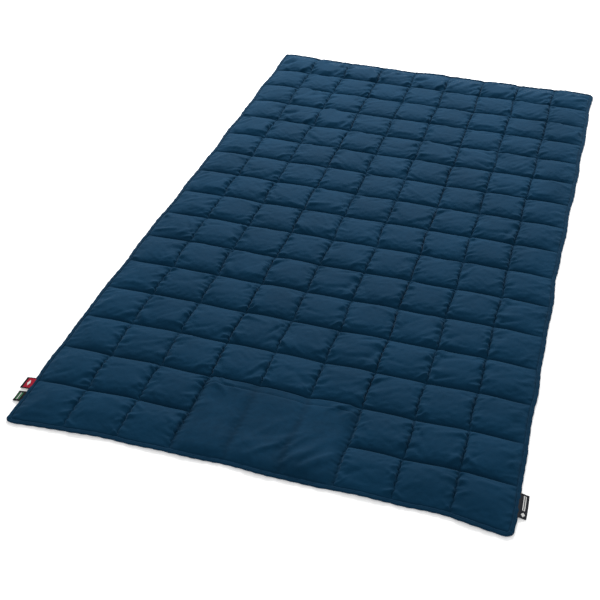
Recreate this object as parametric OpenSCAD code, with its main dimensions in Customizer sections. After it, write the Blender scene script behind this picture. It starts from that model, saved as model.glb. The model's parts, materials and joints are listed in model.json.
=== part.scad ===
// Quilted camp blanket with a foot pocket, laid out flat.
// The underside of the cells rests on Z = 0 and the head end points to +Y.
// The four quarters of its length meet at three fold seams.

/* [Blanket] */
// Width over the edge binding
blanket_w = 1200; // [1080:20:1400]
// Length over the edge binding
blanket_l = 2000; // [1800:20:2200]
// Height of a filled cell at its crown
loft = 22; // [20:1:30]
// Radius of the four corners
corner_r = 18; // [14:1:30]

/* [Edge] */
// Width of the edge binding
binding_w = 10; // [9:1:14]
// Thickness of the binding tape
tape_t = 1.0; // [0.8:0.1:1.0]

/* [Pocket] */
// Height left for the flat cells under the pocket panel
pocket_floor = 12; // [9:1:12]
// Distance from the mouth of the pocket to the row seam in front of it
mouth_setback = 8; // [6:1:12]
// Width of the hem at the mouth
mouth_hem = 20; // [14:1:26]

/* [Labels] */
// How far each label sticks out from the edge
label_reach = 20; // [16:1:22]
// Length along the edge of the upper left label
label_a_l = 34; // [26:1:36]
// Length along the edge of the lower left label
label_b_l = 30; // [24:1:34]
// Length along the edge of the right label
label_c_l = 62; // [40:1:70]

/* [Hidden] */
$fn = 64;

// Quilting grid
columns = 9;
rows = 16;
quarter_rows = 4;
col_pitch = (blanket_w - 2 * binding_w) / columns;
row_pitch = (blanket_l - 2 * binding_w) / rows;

// Cloth levels at a seam, from the underside up
cloth_t = 1;
seam_low = 1.5;
seam_mid = 2.5;
seam_top = 3.5;
ply_gap = 0.05;
seam_land = 1.5;
wall_in = 1.2;
groove = 7;
pad_gap = 0.4;
pad_in = 0.6;
pad_low = 1.3;

// Stations of a cell's crown, as shares of its half width
crown_flat = 0.36;
STATIONS = [-1, -0.9, -0.68, -crown_flat, crown_flat, 0.68, 0.9, 1];
crown_power = 2.6;
crown_shape = 0.55;

// Gap between two quarters at a fold seam
fold_gap = 0.6;
cut_margin = 1;
shell_in = 1.6;

// Binding levels
bind_low = seam_low - 0.1 - tape_t;
bind_top = seam_top + 0.1 + tape_t;
slot_clear = 0.1;

// Threads
thread_w = 1;
thread_t = 0.7;
thread_gap = 0.05;
fold_thread_in = 0.9;
bind_thread_in = 7;
bind_thread_t = 0.6;
bind_bobbin_t = 0.3;

// Pocket
pocket_cols = [3, 4, 5];
pocket_rows = [0, 1];
pocket_land = 6;
pocket_half_w = 1.5 * col_pitch - 0.9;
pocket_foot = -blanket_l / 2 + binding_w + 0.4;
pocket_seam = -blanket_l / 2 + binding_w + 2 * row_pitch;
pocket_mouth = pocket_seam - mouth_setback;
pocket_top = loft - 0.8;
flange_low = 4.4;
flange_w = 5;
flange_slope = 15;
flange_thread_in = 2.5;
tack_l = 6;
tack_w = 2.4;

// Labels
label_t = 1.2;
label_axis_out = 2.5;
label_axis_z = 4;
label_root_r = 0.7;
label_web_t = 0.6;
label_start = 1.6;
label_a_y = -880;
label_b_y = -921;
label_c_y = -914;

// Colours
navy = "#1f3f5c";
navy_back = "#1b3650";
fill_white = "#f0efe8";
thread_blue = "#27496a";
binding_blue = "#1c4470";
label_red = "#a5243a";
label_black = "#1d1f22";
label_grey = "#2b2e33";

function col_x(i) = (i - (columns - 1) / 2) * col_pitch;
function row_y(j) = -blanket_l / 2 + binding_w + (j + 0.5) * row_pitch;
function col_seam(i) = -blanket_w / 2 + binding_w + i * col_pitch;
function row_seam(j) = -blanket_l / 2 + binding_w + j * row_pitch;
function fold_y(k) = row_seam(k * quarter_rows);
function quarter_from(q) = q == 0 ? -blanket_l / 2 : fold_y(q) + fold_gap / 2;
function quarter_to(q) = q == 3 ? blanket_l / 2 : fold_y(q + 1) - fold_gap / 2;
function quarter_row_list(q) = [for (j = [0 : quarter_rows - 1]) q * quarter_rows + j];

// Height share of a puffed cell at station s
function crown(s) = pow((1 - pow(abs(s), crown_power)) / (1 - pow(crown_flat, crown_power)), crown_shape);

// Section of one closed cell: flat tray below, puffed crown above
function cell_points(c, half, base, top, low) = concat(
    [[c - half, base], [c - half + groove, low], [c + half - groove, low]],
    [for (k = [len(STATIONS) - 1 : -1 : 0])
        [c + STATIONS[k] * half, base + (top - base) * crown(STATIONS[k])]]
);

// Upper line of a run of cells with flat lands at the seams between them
function crown_line(centres, half, base, top) = [
    for (c = centres)
        for (s = STATIONS)
            [c + s * half, base + (top - base) * crown(s)]
];

// Lower line of a run of cells with a groove at each seam
function tray_line(centres, half, base, low) = [
    for (c = centres)
        for (p = [[-half, base], [groove - half, low], [half - groove, low], [half, base]])
            [c + p[0], p[1]]
];

// Sections drawn across X run along Y, sections drawn across Y run along X
module along_y(from, to) {
    translate([0, to, 0]) rotate([90, 0, 0]) linear_extrude(height = to - from) children();
}

module along_x(from, to) {
    translate([from, 0, 0]) rotate([90, 0, 90]) linear_extrude(height = to - from) children();
}

// Outline of the blanket, set in from its edge, with round corners
module edge_plate(inset, low, high) {
    r = corner_r - inset;
    w = blanket_w - 2 * inset;
    l = blanket_l - 2 * inset;
    translate([0, 0, low]) linear_extrude(height = high - low) union() {
        square([w - 2 * r, l], center = true);
        square([w, l - 2 * r], center = true);
        for (sx = [-1, 1])
            for (sy = [-1, 1])
                translate([sx * (w / 2 - r), sy * (l / 2 - r)]) circle(r = r);
    }
}

// Everything between the two ends of a quarter
module quarter_slice(q) {
    half = blanket_w / 2 + cut_margin;
    from = q == 0 ? quarter_from(q) - cut_margin : quarter_from(q);
    to = q == 3 ? quarter_to(q) + cut_margin : quarter_to(q);
    translate([-half, from, -cut_margin]) cube([2 * half, to - from, loft + 2 * cut_margin]);
}

// A block of separate cells over some columns and rows
module cell_block(cols, row_list, inset, base, top, low) {
    half_c = col_pitch / 2 - inset;
    half_r = row_pitch / 2 - inset;
    from = row_y(row_list[0]) - row_pitch;
    to = row_y(row_list[len(row_list) - 1]) + row_pitch;
    reach = blanket_w / 2;
    intersection() {
        along_y(from, to) for (i = cols) polygon(cell_points(col_x(i), half_c, base, top, low));
        along_x(-reach, reach) for (j = row_list) polygon(cell_points(row_y(j), half_r, base, top, low));
    }
}

// Where the filling lies, for one group of rows
module cell_rooms(row_list, extra_in, drop, low) {
    plain = seam_land + wall_in + extra_in;
    under_pocket = pocket_land + wall_in + extra_in;
    head_rows = [for (j = row_list) if (j > 1) j];
    foot_rows = [for (j = row_list) if (j <= 1) j];
    if (len(head_rows) > 0)
        cell_block([0 : columns - 1], head_rows, plain, seam_mid, loft - cloth_t - drop, low);
    if (len(foot_rows) > 0) {
        cell_block([0, 1, 2, 6, 7, 8], foot_rows, plain, seam_mid, loft - cloth_t - drop, low);
        cell_block(pocket_cols, foot_rows, under_pocket, seam_mid, pocket_floor - cloth_t - drop, low);
    }
}

// Upper body of a quarter before it is hollowed
module top_body(q) {
    reach = blanket_w / 2 + cut_margin;
    low = seam_mid + ply_gap;
    first = row_seam(q * quarter_rows) - binding_w - cut_margin;
    last = row_seam((q + 1) * quarter_rows) + binding_w + cut_margin;
    half_c = col_pitch / 2 - seam_land;
    half_r = row_pitch / 2 - seam_land;
    cols = [for (i = [0 : columns - 1]) col_x(i)];
    row_list = [for (j = quarter_row_list(q)) row_y(j)];
    intersection() {
        edge_plate(shell_in, low, loft);
        quarter_slice(q);
        along_y(first, last) polygon(concat(
            [[-reach, low], [-reach, seam_top]],
            crown_line(cols, half_c, seam_top, loft),
            [[reach, seam_top], [reach, low]]
        ));
        along_x(-reach, reach) polygon(concat(
            [[first, low], [first, seam_top]],
            crown_line(row_list, half_r, seam_top, loft),
            [[last, seam_top], [last, low]]
        ));
    }
}

// Flattened cells that lie under the pocket panel
module pocket_cells() {
    base = seam_top - cloth_t / 2;
    inset = pocket_land;
    half_c = col_pitch / 2 - inset;
    half_r = row_pitch / 2 - inset;
    intersection() {
        along_y(row_seam(0), row_seam(2)) for (i = pocket_cols)
            polygon(concat(
                [[col_x(i) - half_c, base]],
                crown_line([col_x(i)], half_c, seam_top, pocket_floor),
                [[col_x(i) + half_c, base]]
            ));
        along_x(-2 * col_pitch, 2 * col_pitch) for (j = pocket_rows)
            polygon(concat(
                [[row_y(j) - half_r, base]],
                crown_line([row_y(j)], half_r, seam_top, pocket_floor),
                [[row_y(j) + half_r, base]]
            ));
    }
}

// Upper cloth of one quarter
module top_shell(q) {
    well_half = 1.5 * col_pitch;
    color(navy) difference() {
        union() {
            difference() {
                top_body(q);
                if (q == 0)
                    translate([-well_half, row_seam(0), seam_top]) cube([2 * well_half, 2 * row_pitch, loft]);
            }
            if (q == 0) pocket_cells();
        }
        cell_rooms(quarter_row_list(q), 0, 0, cloth_t);
    }
}

// Lower cloth of one quarter, flat where it rests and grooved at the seams
module back_shell(q) {
    reach = blanket_w / 2 + cut_margin;
    high = seam_mid - ply_gap;
    first = row_seam(q * quarter_rows) - binding_w - cut_margin;
    last = row_seam((q + 1) * quarter_rows) + binding_w + cut_margin;
    half_c = col_pitch / 2 - seam_land;
    half_r = row_pitch / 2 - seam_land;
    cols = [for (i = [0 : columns - 1]) col_x(i)];
    row_list = [for (j = quarter_row_list(q)) row_y(j)];
    color(navy_back) difference() {
        intersection() {
            edge_plate(shell_in, 0, high);
            quarter_slice(q);
            along_y(first, last) polygon(concat(
                [[-reach, high], [-reach, seam_low]],
                tray_line(cols, half_c, seam_low, 0),
                [[reach, seam_low], [reach, high]]
            ));
            along_x(-reach, reach) polygon(concat(
                [[first, high], [first, seam_low]],
                tray_line(row_list, half_r, seam_low, 0),
                [[last, seam_low], [last, high]]
            ));
        }
        cell_rooms(quarter_row_list(q), 0, 0, cloth_t);
    }
}

// Nine filling pads of one row
module fill_row(j) {
    color(fill_white) cell_rooms([j], pad_in, pad_gap, pad_low);
}

// Grid of stitching along the row and column seams of one quarter
module seam_grid(q, low, high) {
    half = blanket_w / 2 - binding_w - 0.3;
    from = q == 0 ? row_seam(0) + 0.3 : quarter_from(q);
    to = q == 3 ? row_seam(rows) - 0.3 : quarter_to(q);
    for (i = [1 : columns - 1])
        translate([col_seam(i) - thread_w / 2, from, low]) cube([thread_w, to - from, high - low]);
    for (j = [1 : quarter_rows - 1])
        translate([-half, row_seam(q * quarter_rows + j) - thread_w / 2, low])
            cube([2 * half, thread_w, high - low]);
    if (q < 3)
        translate([-half, fold_y(q + 1) - fold_thread_in - thread_w / 2, low])
            cube([2 * half, thread_w, high - low]);
}

// Needle thread, on the upper face
module needle_thread(q) {
    color(thread_blue) seam_grid(q, seam_top + thread_gap, seam_top + thread_gap + thread_t);
}

// Bobbin thread, on the underside
module bobbin_thread(q) {
    color(thread_blue) seam_grid(q, seam_low - thread_gap - thread_t, seam_low - thread_gap);
}

// Tape folded round the raw edges of one quarter
module edge_binding(q) {
    inner_w = blanket_w - 2 * binding_w;
    inner_l = blanket_l - 2 * binding_w;
    color(binding_blue) difference() {
        intersection() {
            edge_plate(0, bind_low, bind_top);
            quarter_slice(q);
        }
        translate([-inner_w / 2, -inner_l / 2, -cut_margin]) cube([inner_w, inner_l, loft]);
        edge_plate(tape_t, seam_low - slot_clear, seam_top + slot_clear);
    }
}

// One line of stitching on the binding, needle thread above and bobbin thread below
module binding_thread(q) {
    color(thread_blue) intersection() {
        quarter_slice(q);
        difference() {
            union() {
                edge_plate(bind_thread_in, bind_top + thread_gap, bind_top + thread_gap + bind_thread_t);
                edge_plate(bind_thread_in, bind_low - thread_gap - bind_bobbin_t, bind_low - thread_gap);
            }
            edge_plate(bind_thread_in + thread_w, -cut_margin, loft);
        }
    }
}

// Unquilted panel sewn down on three sides and open towards the head
module pocket_panel() {
    side = pocket_half_w;
    foot = pocket_foot;
    fold_x = side - flange_w;
    crown_x = fold_x - flange_slope;
    fold_f = foot + flange_w;
    crown_f = fold_f + flange_slope;
    high = flange_low + cloth_t;
    under = flange_low - cut_margin;
    color(navy) {
        difference() {
            intersection() {
                along_y(foot, pocket_mouth) polygon([
                    [-side, flange_low], [-side, high], [-fold_x, high], [-crown_x, pocket_top],
                    [crown_x, pocket_top], [fold_x, high], [side, high], [side, flange_low]
                ]);
                along_x(-side, side) polygon([
                    [foot, flange_low], [foot, high], [fold_f, high], [crown_f, pocket_top],
                    [pocket_mouth, pocket_top], [pocket_mouth, flange_low]
                ]);
            }
            intersection() {
                along_y(foot - cut_margin, pocket_mouth + cut_margin) polygon([
                    [-fold_x, under], [-fold_x, flange_low], [-crown_x, pocket_top - cloth_t],
                    [crown_x, pocket_top - cloth_t], [fold_x, flange_low], [fold_x, under]
                ]);
                along_x(-side, side) polygon([
                    [fold_f, under], [fold_f, flange_low], [crown_f, pocket_top - cloth_t],
                    [pocket_mouth + cut_margin, pocket_top - cloth_t], [pocket_mouth + cut_margin, under]
                ]);
            }
        }
        translate([-crown_x, pocket_mouth - mouth_hem, pocket_top - 2 * cloth_t])
            cube([2 * crown_x, mouth_hem, 1.5 * cloth_t]);
    }
}

// Stitching along the two sides and the foot of the pocket
module pocket_side_thread() {
    low = flange_low + cloth_t + thread_gap;
    x = pocket_half_w - flange_thread_in;
    y = pocket_foot + flange_thread_in;
    run = pocket_mouth - tack_l - 2 * thread_w - y;
    color(thread_blue) {
        for (s = [-1, 1])
            translate([s * x - thread_w / 2, y - thread_w / 2, low]) cube([thread_w, run, bind_thread_t]);
        translate([-x, y - thread_w / 2, low]) cube([2 * x, thread_w, bind_thread_t]);
    }
}

// Stitching that holds the hem at the mouth
module pocket_mouth_thread() {
    half = pocket_half_w - flange_w - flange_slope;
    color(thread_blue) translate([-half, pocket_mouth - mouth_hem + 2, pocket_top + thread_gap])
        cube([2 * half, thread_w, bind_thread_t]);
}

// Dense tacks at both ends of the mouth
module pocket_bar_tacks() {
    low = flange_low + cloth_t + thread_gap;
    color(thread_blue) for (s = [-1, 1])
        translate([s * (pocket_half_w - flange_thread_in) - tack_w / 2, pocket_mouth - tack_l - thread_w, low])
            cube([tack_w, tack_l, thread_t]);
}

// Stitched root that a label swings on, at one side of the blanket
module label_root(side, y, l) {
    axis_x = side * (blanket_w / 2 + label_axis_out);
    web = label_axis_out - 0.2;
    translate([axis_x, y + l / 2, label_axis_z]) rotate([90, 0, 0]) cylinder(r = label_root_r, h = l);
    translate([side > 0 ? axis_x - web : axis_x, y - l / 2, label_axis_z - label_web_t / 2])
        cube([web, l, label_web_t]);
}

// All three label roots
module label_roots() {
    color(thread_blue) {
        label_root(-1, label_a_y, label_a_l);
        label_root(-1, label_b_y, label_b_l);
        label_root(1, label_c_y, label_c_l);
    }
}

// Folded ribbon label with a round outer fold
module label(side, y, l) {
    near = blanket_w / 2 + label_axis_out + label_start;
    far = blanket_w / 2 + label_reach - label_t / 2;
    translate([side > 0 ? near : -far, y - l / 2, label_axis_z - label_t / 2])
        cube([far - near, l, label_t]);
    translate([side * far, y + l / 2, label_axis_z]) rotate([90, 0, 0]) cylinder(r = label_t / 2, h = l);
}

module label_left_a() {
    color(label_red) label(-1, label_a_y, label_a_l);
}

module label_left_b() {
    color(label_black) label(-1, label_b_y, label_b_l);
}

module label_right() {
    color(label_grey) label(1, label_c_y, label_c_l);
}

top_shell(0);  // top_shell_foot
top_shell(1);  // top_shell_lower
top_shell(2);  // top_shell_upper
top_shell(3);  // top_shell_head
back_shell(0);  // back_shell_foot
back_shell(1);  // back_shell_lower
back_shell(2);  // back_shell_upper
back_shell(3);  // back_shell_head
fill_row(0);  // fill_row_01
fill_row(1);  // fill_row_02
fill_row(2);  // fill_row_03
fill_row(3);  // fill_row_04
fill_row(4);  // fill_row_05
fill_row(5);  // fill_row_06
fill_row(6);  // fill_row_07
fill_row(7);  // fill_row_08
fill_row(8);  // fill_row_09
fill_row(9);  // fill_row_10
fill_row(10);  // fill_row_11
fill_row(11);  // fill_row_12
fill_row(12);  // fill_row_13
fill_row(13);  // fill_row_14
fill_row(14);  // fill_row_15
fill_row(15);  // fill_row_16
needle_thread(0);  // needle_thread_foot
needle_thread(1);  // needle_thread_lower
needle_thread(2);  // needle_thread_upper
needle_thread(3);  // needle_thread_head
bobbin_thread(0);  // bobbin_thread_foot
bobbin_thread(1);  // bobbin_thread_lower
bobbin_thread(2);  // bobbin_thread_upper
bobbin_thread(3);  // bobbin_thread_head
edge_binding(0);  // edge_binding_foot
edge_binding(1);  // edge_binding_lower
edge_binding(2);  // edge_binding_upper
edge_binding(3);  // edge_binding_head
binding_thread(0);  // binding_thread_foot
binding_thread(1);  // binding_thread_lower
binding_thread(2);  // binding_thread_upper
binding_thread(3);  // binding_thread_head
pocket_panel();
pocket_side_thread();
pocket_mouth_thread();
pocket_bar_tacks();
label_roots();
label_left_a();
label_left_b();
label_right();
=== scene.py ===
import json
import math
import bpy
import numpy as np
from mathutils import Matrix, Vector


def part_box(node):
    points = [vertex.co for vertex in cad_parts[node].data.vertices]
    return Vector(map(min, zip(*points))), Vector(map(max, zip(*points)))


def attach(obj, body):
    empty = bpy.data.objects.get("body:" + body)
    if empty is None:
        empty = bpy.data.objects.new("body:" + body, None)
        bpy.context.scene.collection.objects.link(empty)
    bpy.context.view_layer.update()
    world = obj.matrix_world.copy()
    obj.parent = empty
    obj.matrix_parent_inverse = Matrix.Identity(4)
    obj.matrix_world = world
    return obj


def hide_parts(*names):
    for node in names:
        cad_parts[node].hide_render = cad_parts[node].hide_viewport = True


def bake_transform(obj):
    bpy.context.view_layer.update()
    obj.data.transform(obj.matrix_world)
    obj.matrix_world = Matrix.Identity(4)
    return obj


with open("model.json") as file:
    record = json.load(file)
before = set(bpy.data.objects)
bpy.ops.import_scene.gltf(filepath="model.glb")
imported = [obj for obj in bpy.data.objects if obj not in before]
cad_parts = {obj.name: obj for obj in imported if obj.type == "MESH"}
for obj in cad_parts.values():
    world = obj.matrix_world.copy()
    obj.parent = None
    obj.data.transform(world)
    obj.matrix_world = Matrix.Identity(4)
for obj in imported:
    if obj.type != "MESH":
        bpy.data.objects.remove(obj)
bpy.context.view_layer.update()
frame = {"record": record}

# ---------------------------------------------------------------- sizes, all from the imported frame
record = frame["record"]
hinge = {j["name"]: j for j in record["behaviour"]["joints"]}
foot_box, head_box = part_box("edge_binding_foot"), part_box("edge_binding_head")
HALF_W = foot_box[1][0]
HALF_L = head_box[1][1]
TAPE = 0.010                                   # width of the edge binding
CORNER = 0.018                                 # radius of the blanket's corners
ARC = 12                                       # segments round a corner
COLS, ROWS = 9, 16
CW = 2 * (HALF_W - TAPE) / COLS                # one quilted cell
CH = 2 * (HALF_L - TAPE) / ROWS
X0, Y0 = -HALF_W + TAPE, -HALF_L + TAPE
FOLDS = [hinge[n]["pos_m"][1] for n in ("fold_foot", "fold_middle", "fold_head")]
QUARTERS = ["foot_quarter", "lower_quarter", "upper_quarter", "head_quarter"]
SEAM_Z = 0.0032                                # top cloth's height at a seam
BACK_Z = 0.0022                                # lining's height at a seam
POCKET_W = 1.5 * CW
POCKET_FOOT = Y0
POCKET_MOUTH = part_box("pocket_panel")[1][1]
N = 36                                         # segments across one cell
EDGE_IN = (0.0025, 0.006)                      # how far inside the edge the cloth's last two lines of points run
PATCH_COLS, PATCH_ROWS = 6, 5                  # cells simulated together, which the whole quilt is then made from
PAD_RISE = 0.0150                              # crown of the soft pad inside a cell
SLACK_X, SLACK_Y = 1.045, 1.050                # the top cloth is cut this much larger than its cell
TOP_CAP = 0.0183                               # highest crown over a seam
SIM_SCALE = 10.0                               # the cloth solver works at ten times life size
WEAVE = 0.0011                                 # spacing of the cloth's threads, drawn coarse
rng = np.random.default_rng(20)


# ---------------------------------------------------------------- helpers
def new_mesh(name, verts, faces, uv=None):
    """Smooth-shaded mesh from arrays; uv is each point's place in the flat cloth, in metres."""
    me = bpy.data.meshes.new(name)
    verts, faces = np.asarray(verts, np.float32), np.asarray(faces, np.int32)
    k = faces.shape[1]
    me.vertices.add(len(verts))
    me.vertices.foreach_set("co", verts.ravel())
    me.loops.add(faces.size)
    me.loops.foreach_set("vertex_index", faces.ravel())
    me.polygons.add(len(faces))
    me.polygons.foreach_set("loop_start", np.arange(0, faces.size, k, dtype=np.int32))
    me.update(calc_edges=True)
    if uv is not None:
        layer = me.uv_layers.new(name="flat")
        layer.data.foreach_set("uv", np.asarray(uv, np.float32)[faces.ravel()].ravel())
    me.polygons.foreach_set("use_smooth", np.ones(len(faces), bool))
    me.validate()
    ob = bpy.data.objects.new(name, me)
    bpy.context.scene.collection.objects.link(ob)
    return ob


def grid_faces(rows, cols, flip=False):
    """Quads of a grid of points; flip turns them to face the other way."""
    i = np.arange(rows * cols).reshape(rows, cols)
    q = [i[:-1, :-1], i[:-1, 1:], i[1:, 1:], i[1:, :-1]]
    if flip:
        q = q[::-1]
    return np.stack(q, -1).reshape(-1, 4)


def graded(n, ease):
    """n steps from 0 to 1, closer together at both ends."""
    t = np.linspace(-1, 1, n + 1)
    u = t + ease * np.sin(np.pi * t)
    return (u / u[-1] + 1) / 2


def waves(x, y, low, high, count, a0, a1):
    """Seeded sum of plane waves, lengths in metres, directions in degrees."""
    z = np.zeros_like(x)
    for _ in range(count):
        lam, a, p = rng.uniform(low, high), math.radians(rng.uniform(a0, a1)), rng.uniform(0, 6.283)
        z += np.cos(2 * np.pi * (x * math.cos(a) + y * math.sin(a)) / lam + p)
    return z / math.sqrt(count)


def step(v, a, b):
    """Smooth rise from 0 at a to 1 at b."""
    t = np.clip((v - a) / (b - a), 0, 1)
    return t * t * (3 - 2 * t)


def run_cloth(co, cut, faces, pinned, frames, pressure, gravity, bend, solid):
    """Blender's cloth from co to rest: cut gives the springs' lengths, pinned points stay, it lies on solid."""
    sc = bpy.context.scene
    ob = new_mesh("sim", co * SIM_SCALE, faces)
    group = ob.vertex_groups.new(name="pin")
    group.add([int(i) for i in pinned], 1.0, "REPLACE")
    ob.shape_key_add(name="Basis")
    key = ob.shape_key_add(name="cut")
    key.data.foreach_set("co", (cut * SIM_SCALE).astype(np.float32).ravel())
    key.value = 0
    below = new_mesh("below", solid[0] * SIM_SCALE, solid[1])
    below.modifiers.new("hit", "COLLISION")
    below.collision.thickness_outer = 0.005
    below.collision.thickness_inner = 0.1
    below.collision.cloth_friction = 5.0
    below.collision.damping = 0.5
    mod = ob.modifiers.new("cloth", "CLOTH")
    s = mod.settings
    s.rest_shape_key = key
    s.quality, s.mass, s.air_damping = 5, 0.3, 1.0
    s.tension_stiffness, s.compression_stiffness = 20.0, 5.0
    s.shear_stiffness, s.bending_stiffness = 4.0, bend
    s.tension_damping = s.compression_damping = s.shear_damping = 5.0
    s.bending_damping = 0.5
    s.vertex_group_mass = "pin"
    s.pin_stiffness = 1
    s.effector_weights.gravity = gravity
    if pressure:
        s.use_pressure = True
        s.uniform_pressure_force = pressure
    mod.collision_settings.use_collision = True
    mod.collision_settings.distance_min = 0.006
    mod.collision_settings.collision_quality = 2
    mod.collision_settings.use_self_collision = False
    mod.point_cache.frame_start, mod.point_cache.frame_end = 1, frames + 1
    keep = (sc.frame_start, sc.frame_end)
    sc.frame_start, sc.frame_end = 1, frames + 1
    for f in range(1, frames + 2):
        sc.frame_set(f)
    dg = bpy.context.evaluated_depsgraph_get()
    ev = ob.evaluated_get(dg)
    me = ev.to_mesh()
    out = np.empty(len(me.vertices) * 3, np.float32)
    me.vertices.foreach_get("co", out)
    ev.to_mesh_clear()
    for o in (ob, below):
        bpy.data.objects.remove(o, do_unlink=True)
    sc.frame_set(1)
    sc.frame_start, sc.frame_end = keep
    return out.reshape(-1, 3).astype(float) / SIM_SCALE


# ---------------------------------------------------------------- puffed cells: cloth over pads, creases added on top
def pad_height(u, v, h):
    """Height of a flat-topped pad, u and v from -1 to 1: narrow valleys along the blanket, softer ones across."""
    return h * np.clip(1 - np.abs(u) ** 4.4, 0, 1) ** 0.58 * np.clip(1 - np.abs(v) ** 3.0, 0, 1) ** 0.62


def fold_marks(X, Y, c, r, how_many, high, slope, both=0.25, wide=(0.0032, 0.0075), long=(0.035, 0.105)):
    """Soft creases in cell c, r, in mm, that leave the seams along the blanket and die out across the cell."""
    z = np.zeros_like(X)
    inside = (X >= c * CW) & (X <= (c + 1) * CW) & (Y >= r * CH) & (Y <= (r + 1) * CH)
    x, y = X[inside] - c * CW, Y[inside] - r * CH
    out = np.zeros_like(x)
    for _ in range(how_many):
        from_right = rng.random() < 0.6
        a = math.radians(rng.uniform(*slope))
        if rng.random() < both:
            a = -a
        if from_right:
            a += math.pi
        x0 = CW - rng.uniform(0, 0.012) if from_right else rng.uniform(0, 0.012)
        y0 = rng.uniform(0.2, 0.95) * CH if from_right else rng.uniform(0.05, 0.75) * CH
        bow = rng.uniform(-4.0, 4.0)
        s = (x - x0) * math.cos(a) + (y - y0) * math.sin(a)
        n = -(x - x0) * math.sin(a) + (y - y0) * math.cos(a) - bow * s * s
        w, length = rng.uniform(*wide), rng.uniform(*long)
        out += (rng.uniform(0.5, 1.0) * high * np.exp(-(n / w) ** 2 / 2) * step(s, -0.002, 0.012)
                * (1 - step(s, 0.4 * length, length)) * rng.choice([1, 1, -0.7]))
    z[inside] = out
    return z


def puffed_cells(nc, nr):
    """Displacements of nc by nr cells, simulated in one go; the last row is the crumpled kind.

    The puckers and creases are drawn by formula. They shape the start of the simulation, which flattens them,
    so a share of them is added again to its result.
    """
    g = graded(N, 0.1)
    gx = np.concatenate([(i + g[:-1]) * CW for i in range(nc)] + [[nc * CW]])
    gy = np.concatenate([(j + g[:-1]) * CH for j in range(nr)] + [[nr * CH]])
    X, Y = np.meshgrid(gx, gy)
    seam = np.zeros(X.shape, bool)
    seam[::N, :] = True
    seam[:, ::N] = True
    to_col = np.minimum(X % CW, CW - X % CW)
    to_row = np.minimum(Y % CH, CH - Y % CH)
    puckers = np.zeros_like(X)
    for c in range(nc + 1):
        for r in range(nr):
            for side in (-1, 1):
                d = (X - c * CW) * side
                y = 0.0
                while y < CH:
                    y += rng.uniform(0.007, 0.016)
                    high = rng.uniform(0.6, 2.2) * rng.choice([1, 1, -0.6])
                    wide, reach = rng.uniform(0.0024, 0.0044), rng.uniform(0.008, 0.032)
                    lean = rng.normal(0.25 * side, 0.35)
                    near = (np.abs(Y - r * CH - y) < 0.03) & (d >= 0) & (d < 0.06)
                    ridge = np.exp(-((Y - (r * CH + y) - lean * d) / wide) ** 2 / 2)
                    puckers[near] += (high * ridge * np.exp(-(d / reach) ** 2) * np.clip(d / 0.003, 0, 1))[near]
    creases = np.zeros_like(X)
    for r in range(nr):
        for c in range(nc):
            if r == nr - 1:
                creases += fold_marks(X, Y, c, r, 8, 3.7, (36, 62), 0.05, (0.0042, 0.0080), (0.08, 0.16))
            else:
                creases += fold_marks(X, Y, c, r, int(rng.integers(4, 9)), rng.uniform(1.2, 2.9), (8, 62))
    inner = np.clip(np.minimum(to_col, to_row) / 0.030, 0.3, 1)
    edge = np.clip(np.minimum(to_col / 0.005, to_row / 0.010), 0, 1)
    rough = 0.30 * waves(X, Y, 0.022, 0.05, 10, 20, 80) * inner + 0.14 * waves(X, Y, 0.012, 0.024, 14, 0, 180)
    base = pad_height(2 * ((X / CW) % 1) - 1, 2 * ((Y / CH) % 1) - 1, PAD_RISE)
    Z = base + 0.001 * edge * (1.0 + rough + 1.3 * puckers + 1.25 * creases)
    Z[seam] = 0
    co = np.stack([X, Y, Z], -1).reshape(-1, 3)
    cut = co.copy()
    cut[:, 0] *= SLACK_X
    cut[:, 1] *= SLACK_Y
    cut[:, 2] = 0
    g2 = graded(24, 0.14)
    px = np.concatenate([(i + g2[:-1]) * CW for i in range(nc)] + [[nc * CW]])
    py = np.concatenate([(j + g2[:-1]) * CH for j in range(nr)] + [[nr * CH]])
    PX, PY = np.meshgrid(px, py)
    PZ = pad_height(2 * ((PX / CW) % 1) - 1, 2 * ((PY / CH) % 1) - 1, PAD_RISE) - 0.001
    solid = (np.stack([PX, PY, PZ], -1).reshape(-1, 3), grid_faces(*PX.shape))
    index = np.arange(X.size).reshape(X.shape)
    out = run_cloth(co, cut, grid_faces(*X.shape), index[seam], 22, 1.2, 0.0, 60.0, solid)
    out = out.reshape(X.shape + (3,))
    out -= np.stack([X, Y, np.zeros_like(X)], -1)
    out[..., 2] += 0.001 * edge * (1.10 * puckers + 1.0 * creases * np.clip(to_row / 0.024, 0, 1))
    cells = []
    for r in range(nr):
        for c in range(nc):
            d = out[r * N:(r + 1) * N + 1, c * N:(c + 1) * N + 1].copy()
            for a in (d[0], d[-1], d[:, 0], d[:, -1]):
                a[:] = 0
            cells.append(d)
    return g, cells


g, cells = puffed_cells(PATCH_COLS, PATCH_ROWS)
calm, crumpled = len(cells) - PATCH_COLS, PATCH_COLS


def quilt_lines(cells_along, pitch):
    """Where the quilt's lines of points run: two in the seam allowance, N to a cell, two more at the far side."""
    end = cells_along * pitch
    between = [(i + g[:-1]) * pitch for i in range(cells_along)]
    return np.concatenate([[-TAPE + EDGE_IN[0], -TAPE + EDGE_IN[1]]] + between
                          + [[end, end + TAPE - EDGE_IN[1], end + TAPE - EDGE_IN[0]]])


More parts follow.
